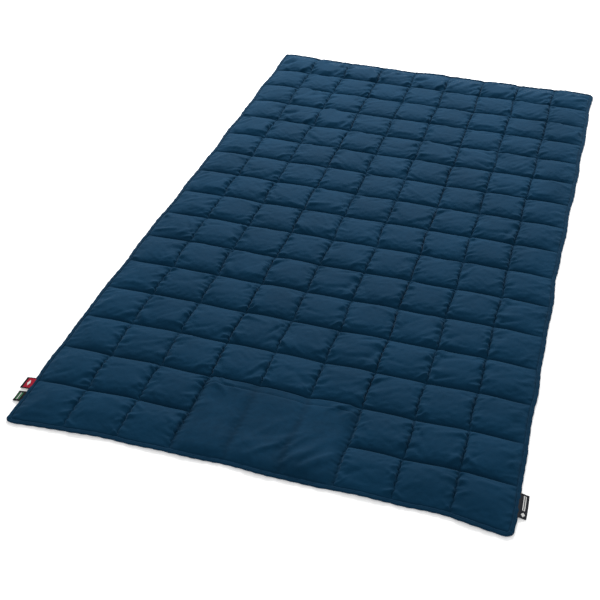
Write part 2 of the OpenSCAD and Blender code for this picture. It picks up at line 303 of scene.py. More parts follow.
# the whole quilt: each cell takes one simulated cell, some turned over left to right or end to end
gx = quilt_lines(COLS, CW) + X0
gy = quilt_lines(ROWS, CH) + Y0
FX, FY = np.meshgrid(gx, gy)
puff = np.zeros(FX.shape + (3,))
last = {}
for r in range(ROWS):
    for c in range(COLS):
        head_row = r == ROWS - 1
        while True:
            k = int(rng.integers(calm))
            if head_row or rng.random() < (0.22 if r >= ROWS - 4 and c < 4 else 0):
                k = calm + int(rng.integers(crumpled))
            neighbours = ((r - 1, c), (r, c - 1), (r - 1, c - 1), (r - 1, c + 1))
            if k not in [last.get(n) for n in neighbours]:
                break
        last[(r, c)] = k
        d = cells[k].copy()
        if k < calm and rng.random() < 0.3:
            d = d[:, ::-1].copy()
            d[..., 0] *= -1
            d = d[::-1].copy()
            d[..., 1] *= -1
        elif k < calm and rng.random() < 0.2:
            d = d[::-1].copy()
            d[..., 1] *= -1
        d[..., 2] *= rng.uniform(0.92, 1.06)
        if 3 <= c <= 5 and r <= 1:
            d[..., 2] *= 0.75
        a, b = 2 + r * N, 2 + c * N
        there = puff[a:a + N + 1, b:b + N + 1]
        there[:] = np.where(np.abs(there) > 0, there, d)
to_edge = np.minimum(HALF_W - np.abs(FX), HALF_L - np.abs(FY))
puff[..., 2] *= 0.50 + 0.50 * step(to_edge, 0.012, 0.085)
soft_cap = TOP_CAP - 0.002 * np.exp(-np.maximum(puff[..., 2] - (TOP_CAP - 0.002), 0) / 0.002)
puff[..., 2] = np.minimum(puff[..., 2], soft_cap)

W_SEED = rng.uniform(0, 6.283, 12)


def seam_pull(t, pitch):
    """1 at a seam, falling off quickly either side of it."""
    d = np.abs((t / pitch + 0.5) % 1 - 0.5) * pitch
    return np.exp(-(d / 0.016) ** 2)


def lay(x, y, raised=1.0):
    """Where a point of the flat quilt ends up in plan, and how far it is lifted."""
    x, y = np.asarray(x, float), np.asarray(y, float)
    s = W_SEED
    # seams wander, and those along the blanket ripple
    dx = (0.0016 * np.sin(2 * np.pi * y / 0.31 + s[0] + 3 * x)
          + 0.0012 * np.sin(2 * np.pi * y / 0.173 + s[1] - 5 * x))
    ripple = (np.sin(2 * np.pi * y / 0.021 + 40 * x + 2 * np.sin(23 * y))
              + 0.8 * np.sin(2 * np.pi * y / 0.0134 - 31 * x))
    dx = dx + 0.0012 * ripple * seam_pull(x - X0, CW) * step(HALF_W - np.abs(x), 0.02, 0.08)
    dy = (0.0013 * np.sin(2 * np.pi * x / 0.27 + s[2] + 2.5 * y)
          + 0.0009 * np.sin(2 * np.pi * x / 0.158 + s[3] - 4 * y))
    # the outline: corners that reach out, a foot edge that bows in, sides that are a little waisted
    corner = np.exp(-((x + HALF_W) / 0.15) ** 2) * step(y, 0.86, 1.0)
    dy = dy + 0.010 * corner
    foot = step(-y, 0.80, 1.0)
    dy = dy + foot * (0.009 * np.clip(1 - (x / HALF_W) ** 2, 0, 1) - 0.008 * np.exp(-((x - HALF_W) / 0.12) ** 2)
                      - 0.014 * np.exp(-((x + HALF_W) / 0.12) ** 2) + 0.009 * np.exp(-((x - 0.43) / 0.14) ** 2))
    dx = dx - 0.010 * np.exp(-((y + 0.12) / 0.42) ** 2) * step(x, 0.15, 0.6)
    near_foot = step(-y, 0.28, 0.60) * (1 - 0.5 * step(-y, 0.88, 1.0))
    dx = dx - 0.0046 * near_foot * step(x, 0.1, 0.6) - 0.0056 * step(-x, 0.2, 0.6)
    dx = dx - 0.0060 * step(-y, -0.2, 0.30) * (1 - step(-y, 0.74, 0.86)) * step(-x, 0.2, 0.6)
    # edges scallop between the seams and lift a little
    side = np.exp(-(HALF_W - np.abs(x)) / 0.035)
    end = np.exp(-(HALF_L - np.abs(y)) / 0.035)
    dx = dx - np.sign(x) * side * 0.0009 * seam_pull(y - Y0, CH) * (1 + 0.5 * np.sin(11 * y + s[4]))
    dy = dy - (np.sign(y) * end * np.where(y > 0, 0.0028, 0.0010) * seam_pull(x - X0, CW)
               * (1 + 0.6 * np.sin(7 * x + s[5])))
    dy = dy + end * np.where(y > 0, 0.0022, 0.0009) * np.sin(2 * np.pi * x / 0.41 + s[6]) * np.sign(y)
    end_lift = 0.0011 * (1 + np.sin(2 * np.pi * x / 0.23 + s[8])) * (1 - 0.8 * seam_pull(x - X0, CW))
    dz = 0.004 * corner + side * 0.0005 * (1 + np.sin(2 * np.pi * y / 0.19 + s[7])) + end * end_lift
    v = 2 * (((y - Y0) / CH) % 1) - 1
    inside = step(HALF_W - np.abs(x), 0.03, 0.08) * step(HALF_L - np.abs(y), 0.012, 0.03)
    dz = dz + raised * 0.0026 * seam_pull(x - X0, CW) * (1 - np.abs(v) ** 4) * inside
    return x + dx, y + dy, dz


def rounded(x, y):
    """Draws the points outside the round corners in, so that they end inside the binding."""
    ax, ay = np.abs(x) - (HALF_W - CORNER), np.abs(y) - (HALF_L - CORNER)
    far = np.hypot(ax, ay)
    pull = np.where((ax > 0) & (ay > 0), np.minimum(1, (CORNER - EDGE_IN[0]) / np.maximum(far, 1e-6)), 1)
    return (np.where(pull < 1, np.sign(x) * (HALF_W - CORNER + ax * pull), x),
            np.where(pull < 1, np.sign(y) * (HALF_L - CORNER + ay * pull), y))


def pocket_rise(x, y):
    """How far the plain pocket stands above the seams, rising from its sewn sides, with valleys over column seams."""
    rise_x = np.clip((POCKET_W - np.abs(x)) / 0.034, 0, 1)
    rise_y = np.clip((y - POCKET_FOOT) / 0.030, 0, 1)
    rise = np.sin(rise_x * np.pi / 2) * np.sin(rise_y * np.pi / 2)
    valley = np.exp(-((np.abs(x) - CW / 2 - 0.002 * np.sin(35 * y)) / 0.015) ** 2)
    through = valley * (0.75 + 0.25 * np.sin(25 * y + 8 * x))
    return rise, 0.0125 * rise - 0.0056 * through * rise


# the cells under the pocket stay below it
below_pocket = (np.abs(FX) < POCKET_W) & (FY < POCKET_MOUTH)
ceiling = np.maximum(pocket_rise(FX, FY)[1] - 0.0024, 0)
puff[..., 2] = np.where(below_pocket, np.minimum(puff[..., 2], ceiling), puff[..., 2])
LX, LY, LZ = lay(*rounded(FX, FY))
TOP = np.stack([LX + puff[..., 0], LY + puff[..., 1], SEAM_Z + LZ + puff[..., 2]], -1)
FLAT = np.stack([FX, FY], -1)


# ---------------------------------------------------------------- materials
def nodes_of(name):
    """A new material, its node tree and its shader."""
    m = bpy.data.materials.new(name)
    m.use_nodes = True
    t = m.node_tree
    return m, t, t.nodes["Principled BSDF"]


def node(t, kind, **sets):
    """A new node; in_2=x sets its third input, any other name a property."""
    n = t.nodes.new(kind)
    for k, v in sets.items():
        if k.startswith("in_"):
            n.inputs[int(k[3:])].default_value = v
        else:
            setattr(n, k, v)
    return n


def math_node(t, op, a, b=None):
    """Output of a math node on numbers or sockets."""
    n = t.nodes.new("ShaderNodeMath")
    n.operation = op
    for i, v in enumerate((a, b)):
        if v is None:
            continue
        if isinstance(v, (int, float)):
            n.inputs[i].default_value = v
        else:
            t.links.new(v, n.inputs[i])
    return n.outputs[0]


def vary_value(t, source, amount):
    """Noise from 0.3 to 0.7 becomes a factor from 1 - amount to 1 + amount."""
    ramp = node(t, "ShaderNodeMapRange")
    ramp.inputs["From Min"].default_value, ramp.inputs["From Max"].default_value = 0.3, 0.7
    ramp.inputs["To Min"].default_value, ramp.inputs["To Max"].default_value = 1 - amount, 1 + amount
    t.links.new(source.outputs[0], ramp.inputs["Value"])
    return ramp.outputs[0]


def darker(t, value, shade, share):
    """value, less the share of it that shade covers."""
    return math_node(t, "MULTIPLY", value, math_node(t, "SUBTRACT", 1.0, math_node(t, "MULTIPLY", shade, share)))


def from_seam(t, coordinate, start, pitch):
    """Distance to the nearest seam, in metres."""
    return math_node(t, "PINGPONG", math_node(t, "SUBTRACT", coordinate, start), pitch / 2)


def cloth_material(name, base, sheen=0.10, seams=True, crinkle=1.0, vary=1.0, seam_band_shade=0.0):
    """Fine plain-woven taffeta: weave, crinkles, uneven dye, soft sheen.

    seams adds painted shade along the quilting seams; the last argument adds soft stripes of painted shade over the
    column seams under the pocket.
    """
    m, t, p = nodes_of(name)
    uv = node(t, "ShaderNodeUVMap", uv_map="flat").outputs[0]
    xyz = node(t, "ShaderNodeSeparateXYZ")
    t.links.new(uv, xyz.inputs[0])
    big = node(t, "ShaderNodeTexNoise", in_2=5.0, in_3=3.0)
    t.links.new(uv, big.inputs["Vector"])
    small = node(t, "ShaderNodeTexNoise", in_2=70.0, in_3=4.0)
    t.links.new(uv, small.inputs["Vector"])
    value = math_node(t, "MULTIPLY", vary_value(t, big, 0.10 * vary), vary_value(t, small, 0.05 * vary))
    # painted shade: darker on the row and column seam lines, where the valleys lie in shade; noise breaks up the
    # column seams' shade
    if seams:
        row = from_seam(t, xyz.outputs[1], Y0, CH)
        col = from_seam(t, xyz.outputs[0], X0, CW)
        shade_r = math_node(t, "EXPONENT", math_node(t, "MULTIPLY", row, -1 / 0.0030))
        shade_c = math_node(t, "EXPONENT", math_node(t, "MULTIPLY", col, -1 / 0.0024))
        broken = node(t, "ShaderNodeTexNoise", in_2=85.0, in_3=1.0)
        t.links.new(uv, broken.inputs["Vector"])
        shade_c = math_node(t, "MULTIPLY", shade_c, math_node(t, "MULTIPLY", broken.outputs[0], 1.9))
        value = darker(t, darker(t, value, shade_r, 0.24), shade_c, 0.10)
    # painted shade: soft dark stripes over the column seams beneath the pocket
    if seam_band_shade:
        col = from_seam(t, xyz.outputs[0], X0, CW)
        squared = math_node(t, "MULTIPLY", col, col)
        soft = math_node(t, "EXPONENT", math_node(t, "MULTIPLY", squared, -1 / 0.0085 ** 2))
        value = darker(t, value, soft, seam_band_shade)
    tone = node(t, "ShaderNodeHueSaturation")
    tone.inputs["Color"].default_value = (*base, 1)
    t.links.new(value, tone.inputs["Value"])
    t.links.new(tone.outputs[0], p.inputs["Base Color"])
    # weave and crinkles
    warp = math_node(t, "SINE", math_node(t, "MULTIPLY", xyz.outputs[0], 2 * math.pi / WEAVE))
    weft = math_node(t, "SINE", math_node(t, "MULTIPLY", xyz.outputs[1], 2 * math.pi / WEAVE))
    weave = math_node(t, "MULTIPLY", warp, weft)
    crink = node(t, "ShaderNodeTexNoise", in_2=48.0, in_3=4.0)
    crink.inputs["Distortion"].default_value = 0.8
    t.links.new(uv, crink.inputs["Vector"])
    fine = node(t, "ShaderNodeTexNoise", in_2=210.0, in_3=3.0)
    t.links.new(uv, fine.inputs["Vector"])
    height = math_node(t, "ADD", math_node(t, "MULTIPLY", crink.outputs[0], 0.0010 * crinkle),
                       math_node(t, "MULTIPLY", fine.outputs[0], 0.00030 * crinkle))
    height = math_node(t, "ADD", height, math_node(t, "MULTIPLY", weave, 0.000025))
    bump = node(t, "ShaderNodeBump")
    bump.inputs["Strength"].default_value = 0.9
    bump.inputs["Distance"].default_value = 1.0
    t.links.new(height, bump.inputs["Height"])
    t.links.new(bump.outputs[0], p.inputs["Normal"])
    p.inputs["Roughness"].default_value = 0.62
    p.inputs["Sheen Weight"].default_value = sheen
    p.inputs["Sheen Roughness"].default_value = 0.45
    p.inputs["Sheen Tint"].default_value = (0.42, 0.69, 1.0, 1)
    p.inputs["Specular IOR Level"].default_value = 0.012
    return m


def thread_material(name, base):
    """Dull sewing thread, a little uneven in tone."""
    m, t, p = nodes_of(name)
    noise = node(t, "ShaderNodeTexNoise", in_2=900.0, in_3=2.0)
    co = node(t, "ShaderNodeTexCoord")
    t.links.new(co.outputs["Object"], noise.inputs["Vector"])
    tone = node(t, "ShaderNodeHueSaturation")
    tone.inputs["Color"].default_value = (*base, 1)
    ramp = node(t, "ShaderNodeMapRange")
    ramp.inputs["To Min"].default_value, ramp.inputs["To Max"].default_value = 0.7, 1.3
    t.links.new(noise.outputs[0], ramp.inputs["Value"])
    t.links.new(ramp.outputs[0], tone.inputs["Value"])
    t.links.new(tone.outputs[0], p.inputs["Base Color"])
    p.inputs["Roughness"].default_value = 0.75
    p.inputs["Specular IOR Level"].default_value = 0.05
    return m


NAVY = (0.0035, 0.0270, 0.0585)
NAVY_BACK = (0.0030, 0.0200, 0.0440)
# the top and the lining carry the painted seam shade; the pocket carries painted stripes of shade over the column
# seams beneath it
mat_top = cloth_material("navy taffeta", NAVY)
mat_back = cloth_material("navy lining", NAVY_BACK, crinkle=1.6)
mat_pocket = cloth_material("navy taffeta, pocket", tuple(0.93 * c for c in NAVY),
                            seams=False, crinkle=0.8, vary=1.8, seam_band_shade=0.20)
mat_tape = cloth_material("binding tape", (0.0034, 0.0232, 0.0500), seams=False, sheen=0.09, crinkle=0.5)
mat_thread = thread_material("navy thread", (0.0032, 0.0190, 0.0430))


def finish_piece(ob, mat, bodies, fold=None, nodes=()):
    """Adds the material's slot; parents the piece to its body's empty, or, where it crosses a fold, bakes its
    transform in place; hides the CAD nodes it stands for.
    """
    ob.data.materials.append(mat)
    if fold is None:
        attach(ob, bodies[0])
    else:
        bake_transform(ob)
    if nodes:
        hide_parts(*nodes)


# ---------------------------------------------------------------- cloths, cut at seams: each part crosses one fold
ROW_CUTS = [0, 6, 10, 16]
BLOCKS = ["foot", "middle", "head"]
PAIRS = [(QUARTERS[0], QUARTERS[1]), (QUARTERS[1], QUARTERS[2]), (QUARTERS[2], QUARTERS[3])]
STANDS = [
    ["top_shell_foot"] + ["fill_row_%02d" % i for i in range(1, 7)],
    ["top_shell_lower", "top_shell_upper"] + ["fill_row_%02d" % i for i in range(7, 11)],
    ["top_shell_head"] + ["fill_row_%02d" % i for i in range(11, 17)],
]
BACKS = [["back_shell_foot"], ["back_shell_lower", "back_shell_upper"], ["back_shell_head"]]


def block_lines(b):
    """First and last of block b's lines of points across the quilt."""
    first = 0 if b == 0 else 2 + ROW_CUTS[b] * N
    final = TOP.shape[0] - 1 if b == 2 else 2 + ROW_CUTS[b + 1] * N
    return first, final


# the top: three blocks by three columns of cloth
for b in range(3):
    first, final = block_lines(b)
    for k, side in enumerate(("left", "centre", "right")):
        c0 = 0 if k == 0 else 2 + 3 * k * N
        c1 = TOP.shape[1] if k == 2 else 2 + 3 * (k + 1) * N + 1
        part = TOP[first:final + 1, c0:c1]
        ob = new_mesh("top_cloth_%s_%s" % (BLOCKS[b], side), part.reshape(-1, 3), grid_faces(*part.shape[:2]),
                      FLAT[first:final + 1, c0:c1].reshape(-1, 2))
        finish_piece(ob, mat_top, PAIRS[b], FOLDS[b], STANDS[b] if k == 0 else ())


def every_third(count):
    """Every third line of points from the third on, with the last three lines and the first two."""
    return np.unique(np.concatenate([[0, 1], np.arange(2, count - 2, 3), [count - 3, count - 2, count - 1]]))


# the back: flatter, on every third line of the top's points
ri, ci = every_third(TOP.shape[0]), every_third(TOP.shape[1])
BX, BY = np.meshgrid(gx[ci], gy[ri])
bx, by, bz = lay(*rounded(BX, BY))
depth = puff[np.ix_(ri, ci)][..., 2]
under = puff[np.ix_(ri, ci)][..., :2] * 0.6
BACK = np.stack([bx + under[..., 0], by + under[..., 1], np.maximum(BACK_Z + bz * 0.5 - 0.11 * depth, 0.0004)], -1)
for b in range(3):
    first, final = block_lines(b)
    sel = (ri >= first) & (ri <= final)
    part = BACK[sel]
    ob = new_mesh("back_cloth_" + BLOCKS[b], part.reshape(-1, 3), grid_faces(*part.shape[:2], flip=True),
                  np.stack([BX, BY], -1)[sel].reshape(-1, 2))
    finish_piece(ob, mat_back, PAIRS[b], FOLDS[b], BACKS[b])


# ---------------------------------------------------------------- edge binding
def outline(inset, spacing):
    """Points along the flat quilt's edge, inset from it, from the foot's middle anticlockwise."""
    r, w, l = CORNER - inset, HALF_W - inset, HALF_L - inset
    pts = []

    def line(a, b):
        n = max(2, int(math.dist(a, b) / spacing))
        pts.extend([(a[0] + (b[0] - a[0]) * i / n, a[1] + (b[1] - a[1]) * i / n) for i in range(n)])

    def arc(cx, cy, a0):
        for i in range(ARC):
            a = math.radians(a0 + 90 * i / ARC)
            pts.append((cx + r * math.cos(a), cy + r * math.sin(a)))

    line((0, -l), (w - r, -l))
    arc(w - r, -l + r, -90)
    line((w, -l + r), (w, l - r))
    arc(w - r, l - r, 0)
    line((w - r, l), (-w + r, l))
    arc(-w + r, l - r, 90)
    line((-w, l - r), (-w, -l + r))
    arc(-w + r, -l + r, 180)
    line((-w + r, -l), (0, -l))
    return np.array(pts)


def strips(pts, low, high):
    """The runs of a closed path whose y lies between low and high, with one point shared at each cut."""
    keep = (pts[:, 1] >= low - 1e-9) & (pts[:, 1] <= high + 1e-9)
    n = len(pts)
    if keep.all():
        return [np.arange(n + 1) % n]
    runs = []
    for start in [k for k in range(n) if keep[k] and not keep[k - 1]]:
        run, k = [], start
        while keep[k % n]:
            run.append(k % n)
            k += 1
        runs.append(np.array(run))
    return runs


def cut_path(pts, cuts):
    """Adds points to the path exactly where it crosses each y in cuts."""
    out = []
    for a, b in zip(pts, np.roll(pts, -1, 0)):
        out.append(a)
        for c in cuts:
            if (a[1] - c) * (b[1] - c) < 0:
                out.append(a + (b - a) * (c - a[1]) / (b[1] - a[1]))
    return np.array(out)


CUTS = [Y0 + ROW_CUTS[1] * CH, Y0 + ROW_CUTS[2] * CH]
SPANS = [(-9, CUTS[0]), (CUTS[0], CUTS[1]), (CUTS[1], 9)]
path = cut_path(outline(0, 0.005), CUTS)
nxt = np.roll(path, -1, 0) - np.roll(path, 1, 0)
nxt /= np.linalg.norm(nxt, axis=1, keepdims=True)
inward = np.stack([-nxt[:, 1], nxt[:, 0]], -1)
run_len = np.concatenate([[0], np.cumsum(np.linalg.norm(np.diff(path, axis=0), axis=1))])
# section of the folded tape: how far in from the edge, how high; top, round the fold, underneath
PROFILE = [(0.0108, 0.0048), (0.0100, 0.0058), (0.0080, 0.0063), (0.0070, 0.0058), (0.0050, 0.0062),
           (0.0022, 0.0056), (0.0004, 0.0040), (0.0003, 0.0026), (0.0018, 0.0013), (0.0050, 0.0007),
           (0.0070, 0.0009), (0.0090, 0.0007), (0.0104, 0.0012)]
ruck = (0.00045 * np.sin(2 * np.pi * run_len / 0.017 + 1.3 * np.sin(run_len * 31))
        + 0.0004 * np.sin(2 * np.pi * run_len / 0.043 + 2 * np.sin(run_len * 9)))
ruck2 = 0.0005 * np.sin(2 * np.pi * run_len / 0.029 + 1.7 * np.sin(run_len * 17))
ring = []
for d, z in PROFILE:
    q = path + inward * (d + (ruck2 * (d < 0.004) - 0.5 * ruck2 * (d > 0.009)))[:, None]
    x, y, dz = lay(q[:, 0], q[:, 1])
    ring.append(np.stack([x, y, z + dz * (0.4 + 0.6 * (z > 0.002)) + ruck * (z > 0.003)], -1))
ring = np.stack(ring, 1)
BINDS = [["edge_binding_foot", "label_roots"], ["edge_binding_lower", "edge_binding_upper"], ["edge_binding_head"]]
for b in range(3):
    verts, faces, uvs, base = [], [], [], 0
    for run in strips(path, *SPANS[b]):
        part = ring[run]
        m, k = part.shape[:2]
        i = np.arange(m * k).reshape(m, k)
        j = np.roll(i, -1, 1)
        faces.append(np.stack([i[:-1], j[:-1], j[1:], i[1:]], -1).reshape(-1, 4) + base)
        verts.append(part.reshape(-1, 3))
        around = np.linspace(0, 0.024, k)
        uvs.append(np.stack(np.broadcast_arrays(run_len[run][:, None], around[None]), -1).reshape(-1, 2))
        base += m * k
    ob = new_mesh("edge_tape_" + BLOCKS[b], np.concatenate(verts), np.concatenate(faces), np.concatenate(uvs))
    finish_piece(ob, mat_tape, PAIRS[b], FOLDS[b], BINDS[b])


# ---------------------------------------------------------------- stitches
def stitches(line, pitch, length, width, sink=0.0, up=1.0):
    """One small spindle per stitch along a 3-D line."""
    d = np.concatenate([[0], np.cumsum(np.linalg.norm(np.diff(line, axis=0), axis=1))])
    at = np.arange(pitch / 2, d[-1] - length / 2, pitch)
    if not len(at):
        return np.zeros((0, 3)), np.zeros((0, 3), int)
    mid = np.stack([np.interp(at, d, line[:, k]) for k in range(3)], -1)
    ahead = np.stack([np.interp(at + length / 2, d, line[:, k]) for k in range(3)], -1)
    behind = np.stack([np.interp(at - length / 2, d, line[:, k]) for k in range(3)], -1)
    t = ahead - behind
    t /= np.maximum(np.linalg.norm(t, axis=1, keepdims=True), 1e-9)
    s = np.cross(t, [0, 0, 1.0])
    s /= np.maximum(np.linalg.norm(s, axis=1, keepdims=True), 1e-9)
    z = np.array([0, 0, up])
    a, c = behind - z * sink, ahead - z * sink
    w = width / 2
    v = np.stack([a, mid + s * w, mid + z * w * 1.2, mid - s * w, mid - z * w * 0.6, c], 1)
    f = np.array([[0, 2, 1], [0, 3, 2], [0, 4, 3], [0, 1, 4], [5, 1, 2], [5, 2, 3], [5, 3, 4], [5, 4, 1]])
    if up < 0:
        f = f[:, ::-1]
    return v.reshape(-1, 3), (f[None] + 6 * np.arange(len(at))[:, None, None]).reshape(-1, 3)


def joined(name, parts, mat, bodies, fold, nodes):
    """One piece made of several lots of stitches."""
    verts, faces, base = [], [], 0
    for v, f in parts:
        verts.append(v)
        faces.append(f + base)
        base += len(v)
    ob = new_mesh(name, np.concatenate(verts), np.concatenate(faces))
    finish_piece(ob, mat, bodies, fold, nodes)


def seam_line(p, q, z, under=False):
    """Straight line of the flat quilt, where it lies on the floor; underneath it lifts half as far."""
    n = max(8, int(math.dist(p, q) / 0.004))
    x, y = np.linspace(p[0], q[0], n), np.linspace(p[1], q[1], n)
    lx, ly, lz = lay(x, y)
    return np.stack([lx, ly, z + lz * (0.5 if under else 1)], -1)


NEEDLE = [["needle_thread_foot"], ["needle_thread_lower", "needle_thread_upper"], ["needle_thread_head"]]
BOBBIN = [["bobbin_thread_foot"], ["bobbin_thread_lower", "bobbin_thread_upper"], ["bobbin_thread_head"]]
EDGE_T = [["binding_thread_foot"], ["binding_thread_lower", "binding_thread_upper"], ["binding_thread_head"]]
SEAM_STITCH = (0.0042, 0.0034, 0.0008, 0.0003)  # pitch, length, width, how far the ends sink
edge_path = cut_path(outline(0.0070, 0.004), CUTS)
for b in range(3):
    low = Y0 if b == 0 else CUTS[b - 1]
    high = Y0 + ROWS * CH if b == 2 else CUTS[b]
    tops, unders, edges = [], [], []
    for z, up, store in ((SEAM_Z + 0.0003, 1.0, tops), (0.0019, -1.0, unders)):
        for i in range(1, COLS):
            x = X0 + i * CW
            store.append(stitches(seam_line((x, low), (x, high), z, up < 0), *SEAM_STITCH, up))
        for j in range(ROW_CUTS[b] + (b == 0), ROW_CUTS[b + 1] + (b < 2)):
            y = Y0 + j * CH
            if j == ROW_CUTS[b] and b > 0:
                continue
            store.append(stitches(seam_line((X0, y), (-X0, y), z, up < 0), *SEAM_STITCH, up))
    for run in strips(edge_path, *SPANS[b]):
        q = edge_path[run]
        x, y, dz = lay(q[:, 0], q[:, 1])
        edges.append(stitches(np.stack([x, y, 0.0060 + dz], -1), 0.0042, 0.0032, 0.0008, 0.0004))
        edges.append(stitches(np.stack([x, y, 0.0008 + 0.4 * dz], -1), 0.0042, 0.0032, 0.0007, 0.0002, -1.0))
    joined("quilting_stitches_top_" + BLOCKS[b], tops, mat_thread, PAIRS[b], FOLDS[b], NEEDLE[b])
    joined("quilting_stitches_back_" + BLOCKS[b], unders, mat_thread, PAIRS[b], FOLDS[b], BOBBIN[b])
    joined("binding_stitches_" + BLOCKS[b], edges, mat_thread, PAIRS[b], FOLDS[b], EDGE_T[b])


# ---------------------------------------------------------------- pocket
def pocket_cloth():
    """The pocket's sheet: its lines of points in the flat quilt, and where they lie.

    Height is 30 % of the simulated sheet and 70 % of the plain rise, with the drawn folds added.
    """
    px = np.linspace(-POCKET_W + 0.0015, POCKET_W - 0.0015, 131)
    py = np.linspace(POCKET_FOOT + 0.0005, POCKET_MOUTH, 84)
    PX, PY = np.meshgrid(px, py)
    rise, stand = pocket_rise(PX, PY)
    plain = SEAM_Z + 0.0014 + stand
    z = plain + 0.0011 * rise * waves(PX, PY, 0.07, 0.16, 5, 20, 110)
    # long folds over its lower right, short ones from the mouth's two ends, puckers along the left side
    low_right = step(PX, -0.09, 0.10) * (1 - step(PY, POCKET_MOUTH - 0.09, POCKET_MOUTH - 0.03))
    for k in range(10):
        a = math.radians(rng.uniform(34, 62))
        x0, y0 = -0.03 + 0.020 * k, POCKET_FOOT + rng.uniform(0.030, 0.10)
        s = (PX - x0) * math.cos(a) + (PY - y0) * math.sin(a)
        n = -(PX - x0) * math.sin(a) + (PY - y0) * math.cos(a) - rng.uniform(-2, 2) * s * s
        z = z + (rng.uniform(0.0028, 0.0046) * np.exp(-(n / rng.uniform(0.0045, 0.0075)) ** 2 / 2)
                 * np.exp(-(s / rng.uniform(0.045, 0.08)) ** 2) * rise * low_right)
    for sx, count in ((-1, 6), (1, 5)):
        for k in range(count):
            x0, y0 = sx * (POCKET_W - 0.008 - 0.010 * k), POCKET_MOUTH - rng.uniform(0.0, 0.02)
            a = math.radians(rng.uniform(200, 245)) if sx > 0 else math.radians(rng.uniform(-65, -25))
            s = (PX - x0) * math.cos(a) + (PY - y0) * math.sin(a)
            n = -(PX - x0) * math.sin(a) + (PY - y0) * math.cos(a)
            z = z + (rng.uniform(0.0016, 0.0032) * np.exp(-(n / rng.uniform(0.0032, 0.006)) ** 2 / 2)
                     * step(s, -0.012, 0.004) * (1 - step(s, 0.012, 0.05)) * np.clip(rise * 1.5, 0, 1))
    for k in range(10):
        y0, w, reach = POCKET_FOOT + rng.uniform(0.02, 0.22), rng.uniform(0.0035, 0.006), rng.uniform(0.012, 0.03)
        d = PX + POCKET_W
        z = z + (rng.uniform(0.0012, 0.0026) * np.exp(-((PY - y0 - 0.5 * d) / w) ** 2 / 2)
                 * np.exp(-(d / reach) ** 2) * np.clip(d / 0.006, 0, 1))
    z = z + rise * 0.0003 * waves(PX, PY, 0.02, 0.06, 10, 0, 180)
    index = np.arange(PX.size).reshape(PX.shape)
    pinned = np.unique(np.concatenate([index[0], index[:, 0], index[:, -1]]))
    co = np.stack([PX, PY, z], -1).reshape(-1, 3)
    cut = co.copy()
    cut[:, 0] *= 1.016
    cut[:, 1] = POCKET_FOOT + (cut[:, 1] - POCKET_FOOT) * 1.012
    cut[:, 2] = 0
    under = SEAM_Z + stand - 0.0005 * rise
    solid = np.stack([PX, PY, under], -1)[::2, ::2]
    solid = (solid.reshape(-1, 3), grid_faces(*solid.shape[:2]))
    out = run_cloth(co, cut, grid_faces(*PX.shape), pinned, 14, 0.0, 0.3, 40.0, solid)
    out = out.reshape(PX.shape + (3,))
    for _ in range(6):
        w = out[..., 2]
        w[1:-1, 1:-1] = 0.25 * (w[:-2, 1:-1] + w[2:, 1:-1] + w[1:-1, :-2] + w[1:-1, 2:])
    out[..., 2] = 0.3 * out[..., 2] + 0.7 * (plain - 0.0012 * rise) + 0.95 * (z - plain)
    return px, py, PX, PY, out


px, py, PX, PY, sheet = pocket_cloth()
hem_at = POCKET_MOUTH - 0.0185                 # the hem's line of stitching, which draws the cloth down
slack = 1.0 + 1.2 * step(-PX, 0.05, 0.11) + 0.8 * step(PX, 0.10, 0.15)
groove = np.exp(-((PY - hem_at) / 0.0026) ** 2) * np.clip((POCKET_W - np.abs(PX)) / 0.02, 0, 1)
sheet[..., 2] -= 0.0012 * slack * groove
lx, ly, lz = lay(PX, PY, 0.0)
sheet = sheet + np.stack([lx - PX, ly - PY, lz], -1)
# the hem is turned under at the mouth and runs back as far as its stitching
edge = sheet[-1]
turned = [edge + np.array(move) for move in ([0, 0.0009, -0.0006], [0, 0.0010, -0.0015], [0, 0.0002, -0.0022])]
back = [sheet[-1 - k] + np.array([0, 0, -0.0022]) for k in range(1, 6)]
full = np.concatenate([sheet, np.stack(turned + back)], 0)
beyond = [np.stack([px, np.full_like(px, POCKET_MOUTH + 0.001 * (k + 1) * 1.2)], -1)
          for k in range(len(turned) + len(back))]
flat_uv = np.concatenate([np.stack([PX, PY], -1), np.stack(beyond)], 0)
pocket = new_mesh("pocket_cloth", full.reshape(-1, 3), grid_faces(*full.shape[:2]), flat_uv.reshape(-1, 2))
finish_piece(pocket, mat_pocket, [QUARTERS[0]], None, ["pocket_panel"])


def on_sheet(x, y):
    """Point of the pocket cloth nearest flat x, y."""
    i = np.clip(np.interp(x, px, np.arange(len(px))), 0, len(px) - 1.001)
    j = np.clip(np.interp(y, py, np.arange(len(py))), 0, len(py) - 1.001)
    i0, j0 = i.astype(int), j.astype(int)
    fx, fy = (i - i0)[:, None], (j - j0)[:, None]
    return (sheet[j0, i0] * (1 - fx) * (1 - fy) + sheet[j0, i0 + 1] * fx * (1 - fy)
            + sheet[j0 + 1, i0] * (1 - fx) * fy + sheet[j0 + 1, i0 + 1] * fx * fy)


def on_line(p, q, n=200):
    """Straight line of the flat pocket, just above its cloth."""
    return on_sheet(np.linspace(p[0], q[0], n), np.linspace(p[1], q[1], n)) + np.array([0, 0, 0.0004])


